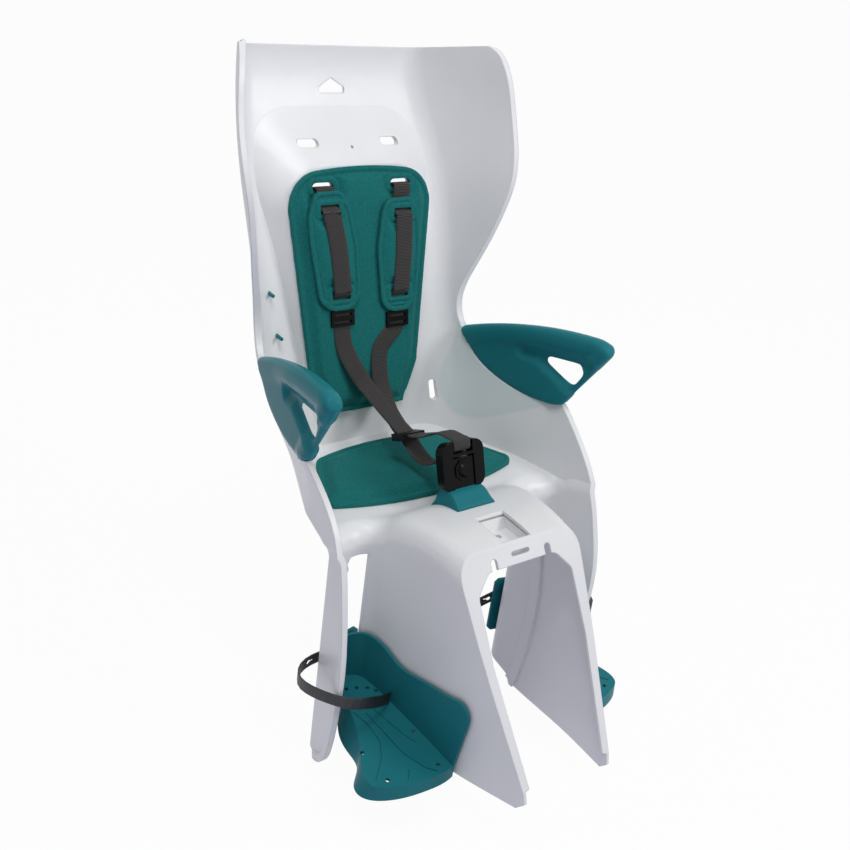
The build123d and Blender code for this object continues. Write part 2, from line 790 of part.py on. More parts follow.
# Footrest of the child's left side
with BuildPart() as footrest_left:
    # Inner wall and heel plate
    with BuildSketch(Plane.XY.offset(-310)):
        with BuildLine():
            Spline(FOOT_WALL)
        trace(line_width=3.6)
    extrude(amount=180)
    with BuildSketch(Plane.YZ.offset(60)):
        with BuildLine():
            Spline(WALL_TOP)
            Polyline(WALL_TOP[-1], (-86, -238), (-84, SKIRT_Z), (110, SKIRT_Z), WALL_TOP[0])
        make_face()
    extrude(amount=120, mode=Mode.INTERSECT)
    # Sole with its skirt, hollow from below
    with BuildSketch(FOOT):
        with BuildLine():
            Spline(SOLE_EDGE)
            inner = [(x, (y - FOOT.origin.Y) / COS_T) for x, y in FOOT_WALL[1:-1]]
            Spline(SOLE_EDGE[-1], *inner, SOLE_EDGE[0])
        make_face()
    with BuildSketch(Plane.XY.offset(SKIRT_Z)):
        with BuildLine():
            Spline(SKIRT_EDGE)
            Spline(SKIRT_EDGE[-1], *FOOT_WALL[1:-1], SKIRT_EDGE[0])
        make_face()
    loft()
    with BuildSketch(FOOT.offset(-SOLE_T)):
        with BuildLine():
            Polyline(*HOLLOW, close=True)
        make_face()
        fillet(vertices(), radius=8)
    extrude(amount=-70, mode=Mode.SUBTRACT)
    # Drain holes and the curved grooves of the sole
    with BuildSketch(FOOT):
        with Locations(*DRAINS):
            RegularPolygon(2.7, 8)
    extrude(amount=-9, mode=Mode.SUBTRACT)
    with BuildSketch(FOOT):
        for line in GROOVES:
            with BuildLine():
                Polyline(*line)
            trace(line_width=1.2)
    extrude(amount=-1, mode=Mode.SUBTRACT)
footrest_left.part.label = "footrest_left"
export_step(footrest_left.part, "parts/footrest_left.step")

with BuildPart() as footrest_right:
    add(mirror(footrest_left.part, about=Plane.YZ))
footrest_right.part.label = "footrest_right"
export_step(footrest_right.part, "parts/footrest_right.step")

# Lock plate behind the leg wall, joined to the footrest through the slot
with BuildPart() as footrest_lock_left:
    with BuildSketch(LOCK.offset(-10)):
        with Locations((2, 0)):
            Rectangle(15, 38)
    extrude(amount=11)
    with BuildSketch(LOCK.offset(0.4)):
        Rectangle(42, 84)
        chamfer(vertices(), length=5)
    extrude(amount=4)
    with BuildSketch(LOCK.offset(4)):
        with Locations(LOCK_PEG):
            RegularPolygon(LOCK_PEG_R, 12)
    extrude(amount=5)
    with BuildSketch(LOCK.offset(8)):
        with Locations(LOCK_PEG):
            RegularPolygon(LOCK_PEG_R + 2.5, 12)
    extrude(amount=3)
    add(footrest_left.part, mode=Mode.SUBTRACT)
footrest_lock_left.part.label = "footrest_lock_left"
export_step(footrest_lock_left.part, "parts/footrest_lock_left.step")

with BuildPart() as footrest_lock_right:
    add(mirror(footrest_lock_left.part, about=Plane.YZ))
footrest_lock_right.part.label = "footrest_lock_right"
export_step(footrest_lock_right.part, "parts/footrest_lock_right.step")

# Foot strap from the inner wall round the outer wall to the peg
with BuildPart() as foot_strap_left:
    add(along(FOOT_STRAP, STRAP_W, 2, (0, 0, 1), 30))
    with BuildSketch(LOCK.offset(2)):
        with Locations(LOCK_PEG):
            RegularPolygon(LOCK_PEG_R + 0.1, 12)
        with Locations(*KEYHOLES):
            RegularPolygon(KEYHOLE_R, 8)
            Rectangle(KEYHOLE_L, KEYHOLE_W, align=(Align.MAX, Align.CENTER))
    extrude(amount=14, mode=Mode.SUBTRACT)
    add(footrest_left.part, mode=Mode.SUBTRACT)
foot_strap_left.part.label = "foot_strap_left"
export_step(foot_strap_left.part, "parts/foot_strap_left.step")

with BuildPart() as foot_strap_right:
    add(mirror(foot_strap_left.part, about=Plane.YZ))
foot_strap_right.part.label = "foot_strap_right"
export_step(foot_strap_right.part, "parts/foot_strap_right.step")

# Two small pegs in the back, on the child's right
with BuildPart() as back_pegs:
    for x, y, z in PEGS:
        with BuildSketch(Plane(origin=(x, y, z), x_dir=(1, 0, 0), z_dir=(0, -1, 0))):
            RegularPolygon(PEG_R, 8)
        extrude(amount=20)
back_pegs.part.label = "back_pegs"
export_step(back_pegs.part, "parts/back_pegs.step")
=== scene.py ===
import math

import bmesh
import bpy
import numpy as np
from mathutils import Matrix, Vector
from mathutils.bvhtree import BVHTree

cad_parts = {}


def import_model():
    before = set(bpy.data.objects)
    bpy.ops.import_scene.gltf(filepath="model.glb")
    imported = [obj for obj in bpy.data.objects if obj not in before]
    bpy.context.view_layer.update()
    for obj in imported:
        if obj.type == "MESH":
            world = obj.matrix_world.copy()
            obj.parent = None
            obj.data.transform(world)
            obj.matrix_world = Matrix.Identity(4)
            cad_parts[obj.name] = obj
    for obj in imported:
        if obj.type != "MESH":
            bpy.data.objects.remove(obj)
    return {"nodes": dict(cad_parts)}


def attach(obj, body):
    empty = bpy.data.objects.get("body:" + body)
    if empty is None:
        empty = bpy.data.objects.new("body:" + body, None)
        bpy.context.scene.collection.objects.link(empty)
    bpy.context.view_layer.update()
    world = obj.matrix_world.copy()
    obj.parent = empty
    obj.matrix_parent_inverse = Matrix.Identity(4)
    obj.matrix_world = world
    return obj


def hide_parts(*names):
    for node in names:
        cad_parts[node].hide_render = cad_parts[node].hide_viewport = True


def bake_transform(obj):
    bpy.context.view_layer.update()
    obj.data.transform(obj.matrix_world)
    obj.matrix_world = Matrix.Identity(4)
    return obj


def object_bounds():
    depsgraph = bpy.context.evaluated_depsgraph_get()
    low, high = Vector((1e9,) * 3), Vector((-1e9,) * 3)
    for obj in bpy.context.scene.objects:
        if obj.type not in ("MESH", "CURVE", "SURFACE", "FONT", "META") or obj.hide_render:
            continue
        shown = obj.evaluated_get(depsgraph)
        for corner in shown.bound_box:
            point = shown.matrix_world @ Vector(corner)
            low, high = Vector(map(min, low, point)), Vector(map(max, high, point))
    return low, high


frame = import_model()
cad_low, cad_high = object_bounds()
MM = 0.001

# Camera and picture, in metres
CAMERA_AT = (-0.7750, -0.7784, 0.6786)
CAMERA_RIGHT = (0.80298, -0.58298, 0.12392)
CAMERA_LOOK = (0.56998, 0.69039, -0.44552)
CAMERA_LENS = 46.59
CAMERA_SENSOR = 36.0
CAMERA_NEAR = 0.02

# Floor, and how much of its white shows where it is seen
FLOOR_SIZE = 120.0
FLOOR_DROP = 0.002
FLOOR_COLOUR = (0.80, 0.80, 0.96)
FLOOR_ROUGHNESS = 0.9
FLOOR_WHITE = 0.96

# Lamps: place, size in metres and power in watts, all aimed at one point, and the light from all round
LAMP_AIM = (0.0, 0.12, 0.1)
LAMPS = {"key": ((1.25, -1.65, 1.65), 0.7, 22), "top": ((-0.5, -0.35, 2.6), 0.9, 26)}
AMBIENT = (0.965, 0.967, 1.0)
AMBIENT_STRENGTH = 0.36

# The plane of the back: foot of the plane and its lean, as on the solid parts
BACK_FOOT = Vector((0, 0.2162, -0.3016))
BACK_LEAN = math.radians(12)
BACK_NORMAL = Vector((0, -math.cos(BACK_LEAN), math.sin(BACK_LEAN)))
BACK_UP = Vector((0, math.sin(BACK_LEAN), math.cos(BACK_LEAN)))
ACROSS = Vector((1, 0, 0))
UP = Vector((0, 0, 1))

# Points of a solid's mesh that lie closer than this are one point
WELD = 0.02 * MM

# Plane of the left armrest, in metres, and the middle of its thickness
ARM_AT = np.array((0.155, 0.292, 0))
ARM_AHEAD = np.array((0.191, -0.982, 0))
ARM_INWARD = np.array((-0.982, -0.191, 0))
ARM_MIDDLE = -0.0025

# Rounding of the armrests and the buckle cap: mesh size, rounds of smoothing, and where the shell holds them
ARM_VOXEL = 0.0016
ARM_ROUNDING = 45
CAP_VOXEL = 0.0011
CAP_ROUNDING = 85
HELD = 0.0015
HELD_FADE = 0.005

# On the plane of the armrest: the corners of the finger hole, the tail of its dish and the line of the rail
FINGER_HOLE = [(0.126, 0.139), (0.207, 0.151), (0.188, 0.115)]
HOLE_TAIL = [(0.104, 0.1365), (0.126, 0.139)]
ARM_RAIL = [(-0.003, 0.131), (0.062, 0.157), (0.139, 0.1785), (0.214, 0.1895), (0.2335, 0.176), (0.1755, 0.083)]

# Shares by which the web and the hole's dish are thinner and the rail thicker, and how far each reaches
RAIL_FROM = 0.013
RAIL_TO = 0.030
WEB_THINNED = 0.30
RAIL_SWELL = 0.32
SWELL_AHEAD = (0.05, 0.12)
SWELL_HEIGHT = (0.10, 0.145)
HOLE_DISH = 0.014
HOLE_THINNED = 0.72
HOLE_LIP = 0.002
DISH_SMOOTHING = 8
# What the rounding takes off the faces
ARM_FATTER = 0.0016

# Painted shade on the inner side walls below the armrests, in the outline of the armrest tongue behind the wall: its
# lower edge and its rear edge, in metres, seen from the side
TONGUE_SLOPE = (0.5331, 0.8457)
TONGUE_LOW = 0.1361
TONGUE_REAR = 0.304
TONGUE_ROUND = 0.1
TONGUE_TOP = 0.172
# Colour by which the painted shade below the armrests darkens the wall
TONGUE_SHADE_TINT = (0.86, 0.925, 0.93)
TONGUE_FADE = 0.004
WALL_FROM = 0.122

# Shell: soft rims in the shading, in metres, and the angle in degrees past which an edge is sharp
RIM_SOFT = 0.002
SHELL_SPLIT = 14

# Rounded edges of the other mouldings
BEVEL_STEPS = 3
BEVEL_ANGLE = 38

# Pads: frames of the cloth simulation, shares of the thickness, and the seam inside the hem in metres
CLOTH_FRAMES = 20
PRESSURE = 4.0
PINNED = 0.35
TOP_FROM = 0.3
TOP_TO = 0.6
HEM_RISE = 0.012
SEAM = 0.0011
LIP = 0.0007
LIP_AT = 0.45
LIP_WIDTH = 0.3

# Slits of the shoulder pads in metres: half sizes, how far the edges draw in, and how far that reaches
SLIT_HALF = (0.016, 0.0075)
SLIT_DRAWN = (0.0027, 0.0020)
SLIT_FADE = 0.010

# Webbing sizes in metres
WEBBING = 0.025
WEB_T = 0.0016
RIB_PITCH = 0.0019
RIB_HEIGHT = 0.00024
RIB_SLANT = 0.22
# Section of the webbing, half of it: shares of its half width and half thickness
WEB_SECTION = [(-1, -0.3), (-1, 0.3), (-0.97, 1), (-0.6, 1), (-0.2, 1), (0.2, 1), (0.6, 1), (0.97, 1)]
ROUTE_STEPS = 24

# Webbing routes in millimetres: across, up the back and forwards of it, then in the frame of the part
LEFT_ON_BACK = [
    (57.6, 611, -17.4),
    (57.6, 622, -17),
    (57.6, 631, -14.5),
    (57.6, 636, -8.5),
    (57.5, 636.5, 3),
    (57, 632.5, 6.2),
    (56, 622, 6),
    (54.6, 610, 5.6),
    (54.3, 605.5, 6.8),
    (54, 598, 15.2),
    (53.7, 592, 16),
    (52.7, 553, 16.2),
    (48.8, 508, 16),
    (48.4, 502, 15.2),
    (48, 494.5, 6.8),
    (47.7, 490, 5.6),
    (47, 476, 6.6),
    (46.3, 463, 7),
    (44, 452, 7),
    (31, 440, 7.6),
    (19, 424, 8),
    (16, 397, 10),
    (17, 373, 16),
]
LEFT_FREE = [(14, 255, 48), (6, 224, 43.5), (1, 203, 42), (0, 188, 41.5)]
RIGHT_ON_BACK = [
    (-57.6, 611, -17.4),
    (-57.6, 622, -17),
    (-57.6, 631, -14.5),
    (-57.6, 636, -8.5),
    (-57.5, 636.5, 3),
    (-57.4, 632.5, 6.2),
    (-57, 627, 5.8),
    (-56, 620, 5.6),
    (-55.4, 615.5, 6.8),
    (-54.6, 608, 15.2),
    (-54, 602, 16),
    (-46.2, 561, 16.2),
    (-41.6, 513, 16),
    (-41.2, 507, 15.2),
    (-40.6, 499.5, 6.8),
    (-40.2, 495, 5.6),
    (-38.8, 482, 6.6),
    (-38.2, 473.3, 7),
    (-38.2, 464, 7),
    (-38.6, 452, 7.2),
    (-35, 431, 8.4),
    (-24.6, 407, 13),
]
RIGHT_FREE = [(-11, 276, 76), (-4, 247, 60), (-2, 218, 51), (-2, 202, 48), (-2, 188, 45.8)]
# Buckle loop seen from the side
LOOP = [
    (186, 49.4),
    (170, 53.5),
    (152, 62),
    (134, 75),
    (120, 82.5),
    (108, 84.8),
    (100.2, 85.8),
    (94.6, 87),
    (90.3, 87.1),
    (87.6, 83.4),
    (86.4, 78.9),
    (87.3, 75.5),
    (92, 73.1),
    (98.4, 70.3),
    (104, 63),
    (115, 47),
    (131, 34),
    (150, 28),
    (168, 31.5),
    (186, 38.6),
]


# Node helpers for the materials
def new_material(name, colour, roughness):
    mat = bpy.data.materials.new(name)
    mat.use_nodes = True
    shader = mat.node_tree.nodes["Principled BSDF"]
    shader.inputs["Base Color"].default_value = (*colour, 1)
    shader.inputs["Roughness"].default_value = roughness
    return mat, mat.node_tree, shader


def coordinates(tree):
    return tree.nodes.new("ShaderNodeTexCoord").outputs["Object"]


def noise(tree, vector, scale, detail):
    node = tree.nodes.new("ShaderNodeTexNoise")
    node.inputs["Scale"].default_value = scale
    node.inputs["Detail"].default_value = detail
    tree.links.new(vector, node.inputs["Vector"])
    return node.outputs["Fac"]


def ramp(tree, factor, stops):
    node = tree.nodes.new("ShaderNodeValToRGB")
    band = node.color_ramp
    while len(band.elements) < len(stops):
        band.elements.new(0.5)
    for element, (place, colour) in zip(band.elements, stops):
        element.position = place
        element.color = (*colour, 1)
    tree.links.new(factor, node.inputs["Fac"])
    return node.outputs["Color"]


def spread(tree, factor, low, high):
    node = tree.nodes.new("ShaderNodeMapRange")
    node.inputs["To Min"].default_value = low
    node.inputs["To Max"].default_value = high
    tree.links.new(factor, node.inputs["Value"])
    return node.outputs["Result"]


def spread_over(tree, value, width):
    # 0 at nothing, 1 from the width on
    node = tree.nodes.new("ShaderNodeMapRange")
    node.inputs["From Max"].default_value = width
    tree.links.new(value, node.inputs["Value"])
    return node.outputs["Result"]


def math_node(tree, operation, *values):
    node = tree.nodes.new("ShaderNodeMath")
    node.operation = operation
    for socket, value in zip(node.inputs, values):
        if isinstance(value, (int, float)):
            socket.default_value = value
        else:
            tree.links.new(value, socket)
    return node.outputs[0]


def bump(tree, shader, height, strength, distance):
    node = tree.nodes.new("ShaderNodeBump")
    node.inputs["Strength"].default_value = strength
    node.inputs["Distance"].default_value = distance
    tree.links.new(height, node.inputs["Height"])
    tree.links.new(node.outputs["Normal"], shader.inputs["Normal"])


# Moulded plastic: a slight cloudiness in the colour, uneven gloss and a fine moulded grain
def plastic(name, dark, light, gloss, grain, grain_depth, shine=0.5):
    mat, tree, shader = new_material(name, light, gloss[0])
    shader.inputs["Specular IOR Level"].default_value = shine
    place = coordinates(tree)
    cloud = noise(tree, place, 9.0, 3.0)
    tree.links.new(ramp(tree, cloud, [(0.3, dark), (0.7, light)]), shader.inputs["Base Color"])
    streak = noise(tree, place, 38.0, 4.0)
    tree.links.new(spread(tree, streak, *gloss), shader.inputs["Roughness"])
    bump(tree, shader, noise(tree, place, grain, 3.0), 0.35, grain_depth)
    return mat


# White moulding: softly rounded rims, and painted shade on the inner side walls below the armrests, in the outline
# of the armrest tongues behind them
def white_plastic():
    mat = plastic("white_moulding", (0.76, 0.765, 0.775), (0.80, 0.803, 0.81), (0.32, 0.44), 1400.0, 0.00005)
    tree = mat.node_tree
    shader = tree.nodes["Principled BSDF"]
    rim = tree.nodes.new("ShaderNodeBevel")
    rim.samples = 6
    rim.inputs["Radius"].default_value = RIM_SOFT
    grain = shader.inputs["Normal"].links[0].from_node
    tree.links.new(rim.outputs["Normal"], grain.inputs["Normal"])
    place = tree.nodes.new("ShaderNodeSeparateXYZ")
    tree.links.new(coordinates(tree), place.inputs[0])
    facing = tree.nodes.new("ShaderNodeSeparateXYZ")
    tree.links.new(tree.nodes.new("ShaderNodeNewGeometry").outputs["True Normal"], facing.inputs[0])
    x, y, z = place.outputs
    slope = math_node(tree, "MULTIPLY_ADD", y, TONGUE_SLOPE[0], math_node(tree, "MULTIPLY", z, TONGUE_SLOPE[1]))
    above = math_node(tree, "SUBTRACT", slope, TONGUE_LOW)
    ahead = math_node(tree, "SUBTRACT", TONGUE_REAR, y)
    short = [math_node(tree, "MAXIMUM", math_node(tree, "SUBTRACT", TONGUE_ROUND, v), 0.0) for v in (above, ahead)]
    squares = [math_node(tree, "MULTIPLY", v, v) for v in short]
    reach = math_node(tree, "SQRT", math_node(tree, "ADD", *squares))
    depth = math_node(tree, "SUBTRACT", TONGUE_ROUND, reach)
    below = math_node(tree, "LESS_THAN", z, TONGUE_TOP)
    inner = math_node(tree, "LESS_THAN", math_node(tree, "MULTIPLY", x, facing.outputs[0]), 0.0)
    side = math_node(tree, "GREATER_THAN", math_node(tree, "ABSOLUTE", x), WALL_FROM)
    there = math_node(tree, "MULTIPLY", math_node(tree, "MULTIPLY", inner, side), below)
    # Painted shade: inside the outline below each armrest the inner side wall is darkened and tinted teal-grey
    shown = math_node(tree, "MULTIPLY", there, spread_over(tree, depth, TONGUE_FADE))
    tint = tree.nodes.new("ShaderNodeMix")
    tint.data_type = "RGBA"
    tint.blend_type = "MULTIPLY"
    tint.inputs["B"].default_value = (*TONGUE_SHADE_TINT, 1)
    tree.links.new(shown, tint.inputs["Factor"])
    tree.links.new(shader.inputs["Base Color"].links[0].from_socket, tint.inputs["A"])
    tree.links.new(tint.outputs["Result"], shader.inputs["Base Color"])
    return mat


# Fabric over foam: a tight knit with a soft sheen
def fabric(name, dark, light):
    mat, tree, shader = new_material(name, light, 0.9)
    place = coordinates(tree)
    shader.inputs["Sheen Weight"].default_value = 0.1
    shader.inputs["Specular IOR Level"].default_value = 0.15
    shader.inputs["Sheen Roughness"].default_value = 0.45
    shader.inputs["Sheen Tint"].default_value = (0.45, 0.85, 0.82, 1)
    cells = tree.nodes.new("ShaderNodeTexVoronoi")
    cells.inputs["Scale"].default_value = 900.0
    tree.links.new(place, cells.inputs["Vector"])
    knit = cells.outputs["Distance"]
    mottle = noise(tree, place, 420.0, 3.0)
    both = math_node(tree, "MULTIPLY_ADD", knit, 0.5, mottle)
    tree.links.new(ramp(tree, both, [(0.35, dark), (0.9, light)]), shader.inputs["Base Color"])
    bump(tree, shader, both, 0.5, 0.0004)
    return mat


# Woven webbing: ribs across the strap, painted lighter on their crests and darker in the troughs as painted light
# and shade, with a random tone in the threads
def webbing(name, dark, light):
    mat, tree, shader = new_material(name, light, 0.8)
    shader.inputs["Sheen Weight"].default_value = 0.06
    shader.inputs["Specular IOR Level"].default_value = 0.25
    shader.inputs["Sheen Roughness"].default_value = 0.5
    rib = tree.nodes.new("ShaderNodeAttribute")
    rib.attribute_name = "rib"
    threads = noise(tree, coordinates(tree), 1500.0, 2.0)
    # Painted light and shade: the rib crests take the light colour and the troughs the dark one
    both = math_node(tree, "MULTIPLY_ADD", threads, 0.45, rib.outputs["Fac"])
    tree.links.new(ramp(tree, both, [(0.2, dark), (1.1, light)]), shader.inputs["Base Color"])
    bump(tree, shader, both, 0.4, 0.0003)
    return mat


WHITE = white_plastic()
TEAL_GLOSS = plastic("teal_gloss", (0.016, 0.178, 0.205), (0.022, 0.202, 0.232), (0.18, 0.26), 700.0, 0.00002, 0.045)
TEAL_SATIN = plastic("teal_satin", (0.010, 0.155, 0.182), (0.016, 0.178, 0.208), (0.36, 0.46), 1500.0, 0.00006, 0.12)
BLACK = plastic(
    "black_moulding", (0.0022, 0.0021, 0.0027), (0.0040, 0.0038, 0.0046), (0.26, 0.38), 1500.0, 0.00005, 0.1
)
RUBBER = plastic("dark_rubber", (0.016, 0.017, 0.021), (0.022, 0.023, 0.028), (0.45, 0.6), 1500.0, 0.00012)
TEAL_CLOTH = fabric("teal_cloth", (0.005, 0.098, 0.094), (0.010, 0.158, 0.152))
WEB_BLACK = webbing("webbing_black", (0.0030, 0.0028, 0.0027), (0.062, 0.057, 0.055))

FINISH = {
    "footrest_left": TEAL_SATIN,
    "footrest_right": TEAL_SATIN,
    "footrest_lock_left": TEAL_SATIN,
    "footrest_lock_right": TEAL_SATIN,
    "back_pegs": TEAL_SATIN,
    "foot_strap_left": RUBBER,
    "foot_strap_right": RUBBER,
    "buckle_frame": BLACK,
    "buckle_post": BLACK,
    "buckle_button": BLACK,
    "strap_adjuster_left": BLACK,
    "strap_adjuster_right": BLACK,
    "strap_adjuster_middle": BLACK,
}
# Width of the rounded edges of the mouldings
EDGE = {
    "foot_strap_left": 0.0005,
    "foot_strap_right": 0.0005,
    "back_pegs": 0.0006,
    "buckle_post": 0.0007,
    "buckle_frame": 0.0012,
}
EDGE_DEFAULT = 0.0008


def shade(mesh, mat):
    mesh.materials.clear()
    mesh.materials.append(mat)
    for face in mesh.polygons:
        face.use_smooth = True


def welded(node, mat):
    # A solid in its material, with the points of its mesh joined
    obj = frame["nodes"][node]
    shade(obj.data, mat)
    weld = obj.modifiers.new("weld", "WELD")
    weld.merge_threshold = WELD
    return obj


# Rounded edges and finish of the rigid mouldings
def dress(node, mat):
    obj = welded(node, mat)
    bevel = obj.modifiers.new("bevel", "BEVEL")
    bevel.width = EDGE.get(node, EDGE_DEFAULT)
    bevel.segments = BEVEL_STEPS
    bevel.limit_method = "ANGLE"
    bevel.angle_limit = math.radians(BEVEL_ANGLE)
    bevel.use_clamp_overlap = True
    bevel.harden_normals = False
    obj.modifiers.new("even", "WEIGHTED_NORMAL")


def dress_shell():
    # The shell keeps its edges sharp, and its material softens them
    obj = welded("seat_shell", WHITE)
    split = obj.modifiers.new("split", "EDGE_SPLIT")
    split.split_angle = math.radians(SHELL_SPLIT)
    obj.modifiers.new("even", "WEIGHTED_NORMAL")


for node, mat in FINISH.items():
    dress(node, mat)
dress_shell()


def on_back(x, s, d):
    # A point in millimetres across, up the back and forwards of it
    return BACK_FOOT + ACROSS * (x * MM) + BACK_UP * (s * MM) + BACK_NORMAL * (d * MM)


# Soft pads
def link(name, mesh):
    obj = bpy.data.objects.new(name, mesh)
    bpy.context.scene.collection.objects.link(obj)
    return obj


def outline_of(mesh, normal):
    # Edges round the flat underside of a pad, as pairs of points
    count = {}
    for face in mesh.polygons:
        if face.normal.dot(normal) < -0.95:
            corners = [tuple(round(c, 6) for c in mesh.vertices[i].co) for i in face.vertices]
            for a, b in zip(corners, corners[1:] + corners[:1]):
                key = (min(a, b), max(a, b))
                count[key] = count.get(key, 0) + 1
    return np.array([key for key, uses in count.items() if uses == 1])


def distance_to(edges, points):
    # Shortest distance from each point to the edges
    start, step = edges[:, 0], edges[:, 1] - edges[:, 0]
    length = np.maximum((step**2).sum(1), 1e-12)
    best = np.full(len(points), 1e9)
    for a, d, l2 in zip(start, step, length):
        share = np.clip(((points - a) @ d) / l2, 0, 1)
        best = np.minimum(best, ((points - a - share[:, None] * d) ** 2).sum(1))
    return np.sqrt(best)


def smooth(value, low, high):
    share = np.clip((value - low) / (high - low), 0, 1)
    return share * share * (3 - 2 * share)


def read_points(mesh):
    flat = np.zeros(len(mesh.vertices) * 3)
    mesh.vertices.foreach_get("co", flat)
    return flat.reshape(-1, 3)


def write_points(mesh, points):
    mesh.vertices.foreach_set("co", points.astype(np.float32).ravel())
    mesh.update()


def remeshed(name, node, voxel):
    # An even mesh of a solid, as a new object
    obj = link(name, frame["nodes"][node].data.copy())
    bm = bmesh.new()
    bm.from_mesh(obj.data)
    bmesh.ops.remove_doubles(bm, verts=bm.verts, dist=WELD)
    bm.to_mesh(obj.data)
    bm.free()
    obj.data.remesh_voxel_size = voxel
    bpy.context.view_layer.objects.active = obj
    obj.select_set(True)
    bpy.ops.object.voxel_remesh()
    obj.select_set(False)
    return obj


def settle(obj):
    # The mesh with its modifiers applied
    mesh = bpy.data.meshes.new_from_object(obj.evaluated_get(bpy.context.evaluated_depsgraph_get()))
    obj.modifiers.clear()
    obj.data = mesh
    return mesh


def inflate(obj, depth, pinned_below, cap):
    # Cloth simulation: the cover swells over the foam while its underside stays on the shell
    scene = bpy.context.scene
    rest = read_points(obj.data)
    group = obj.vertex_groups.new(name="underside")
    group.add([int(i) for i in np.nonzero(depth < pinned_below)[0]], 1.0, "REPLACE")
    cloth = obj.modifiers.new("cloth", "CLOTH")
    cloth.settings.quality = 4
    cloth.settings.vertex_group_mass = "underside"
    cloth.settings.use_pressure = True
    cloth.settings.uniform_pressure_force = PRESSURE
    cloth.settings.effector_weights.gravity = 0
    cloth.collision_settings.use_collision = False
    for step in range(1, CLOTH_FRAMES + 1):
        scene.frame_set(step)
    final = obj.evaluated_get(bpy.context.evaluated_depsgraph_get())
    moved = read_points(final.data) - rest
    obj.modifiers.remove(cloth)
    scene.frame_set(1)
    reach = np.linalg.norm(moved, axis=1)
    moved *= np.minimum(1, cap / np.maximum(reach, 1e-9))[:, None]
    write_points(obj.data, rest + moved)


def tighten(points, slits):
    # Draws the edges of the slits in towards the webbing
    for x, s in slits:
        at = points - np.array(on_back(x, s, 0))
        wide, high = at @ np.array(ACROSS), at @ np.array(BACK_UP)
        beyond = np.hypot(np.maximum(abs(wide) - SLIT_HALF[0], 0), np.maximum(abs(high) - SLIT_HALF[1], 0))
        share = 1 - smooth(beyond, 0, SLIT_FADE)
        points -= np.outer(share * np.clip(wide / SLIT_HALF[0], -1, 1) * SLIT_DRAWN[0], ACROSS)
        points -= np.outer(share * np.clip(high / SLIT_HALF[1], -1, 1) * SLIT_DRAWN[1], BACK_UP)
    return points


def soft_pad(node, name, normal, voxel, hem, hem_height, crown, slits=()):
    # A padded piece in the place of a solid: crowned middle, sewn hem and a seam inside it
    solid = frame["nodes"][node].data
    edges = outline_of(solid, normal)
    obj = remeshed(name, node, voxel)
    axis = np.array(normal)
    base = (edges[:, 0] @ axis).mean()
    thick = (read_points(obj.data) @ axis).max() - base
    inflate(obj, read_points(obj.data) @ axis - base, PINNED * thick, crown)
    finer = obj.modifiers.new("finer", "SUBSURF")
    finer.levels = finer.render_levels = 1
    finer.subdivision_type = "CATMULL_CLARK"
    mesh = settle(obj)
    points = read_points(mesh)
    height = points @ axis - base
    inside = distance_to(edges, points - np.outer(height, axis))
    top = smooth(height, TOP_FROM * thick, TOP_TO * thick)
    rise = smooth(inside, hem, hem + HEM_RISE)
    target = hem_height + (height - hem_height) * rise
    groove = SEAM * np.exp(-(((inside - hem) / SEAM) ** 2))
    lip = LIP * np.exp(-(((inside - LIP_AT * hem) / (LIP_WIDTH * hem)) ** 2))
    change = top * (target - groove + lip - height)
    write_points(mesh, tighten(points + np.outer(change, axis), slits))
    shade(mesh, TEAL_CLOTH)
    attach(obj, "seat")
    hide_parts(node)


soft_pad("back_pad", "back_pad_cover", BACK_NORMAL, 0.003, 0.0075, 0.0062, 0.003)
soft_pad("seat_pad", "seat_pad_cover", UP, 0.003, 0.0075, 0.0062, 0.004)
for side, slits in (("left", [(54, 601), (48, 498)]), ("right", [(-55, 611), (-41, 503)])):
    node = f"shoulder_pad_{side}"
    soft_pad(node, f"{node}_cover", BACK_NORMAL, 0.0018, 0.006, 0.0042, 0.0015, slits)


# Mouldings with full round edges, held sharp where they meet the shell
SHELL = frame["nodes"]["seat_shell"].data
SHELL_TREE = BVHTree.FromPolygons([v.co for v in SHELL.vertices], [p.vertices for p in SHELL.polygons])


def even_out(obj, rounds):
    # Smoothing, as far as each point is free to move
    even = obj.modifiers.new("rounded", "SMOOTH")
    even.factor = 0.5
    even.iterations = rounds
    even.vertex_group = "free"
    settle(obj)


def rounded_moulding(node, name, voxel, rounds):
    obj = remeshed(name, node, voxel)
    group = obj.vertex_groups.new(name="free")
    for vert in obj.data.vertices:
        near = SHELL_TREE.find_nearest(vert.co, HELD + HELD_FADE)[3]
        away = HELD + HELD_FADE if near is None else near
        group.add([vert.index], float(smooth(away, HELD, HELD + HELD_FADE)), "REPLACE")
    even_out(obj, rounds)
    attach(obj, "seat")
    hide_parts(node)
    return obj


def ring(corners, closed):
    # Edges between corners given on a plane
    ends = corners[1:] + corners[:1] if closed else corners[1:]
    return np.array([[(*a, 0), (*b, 0)] for a, b in zip(corners, ends)])


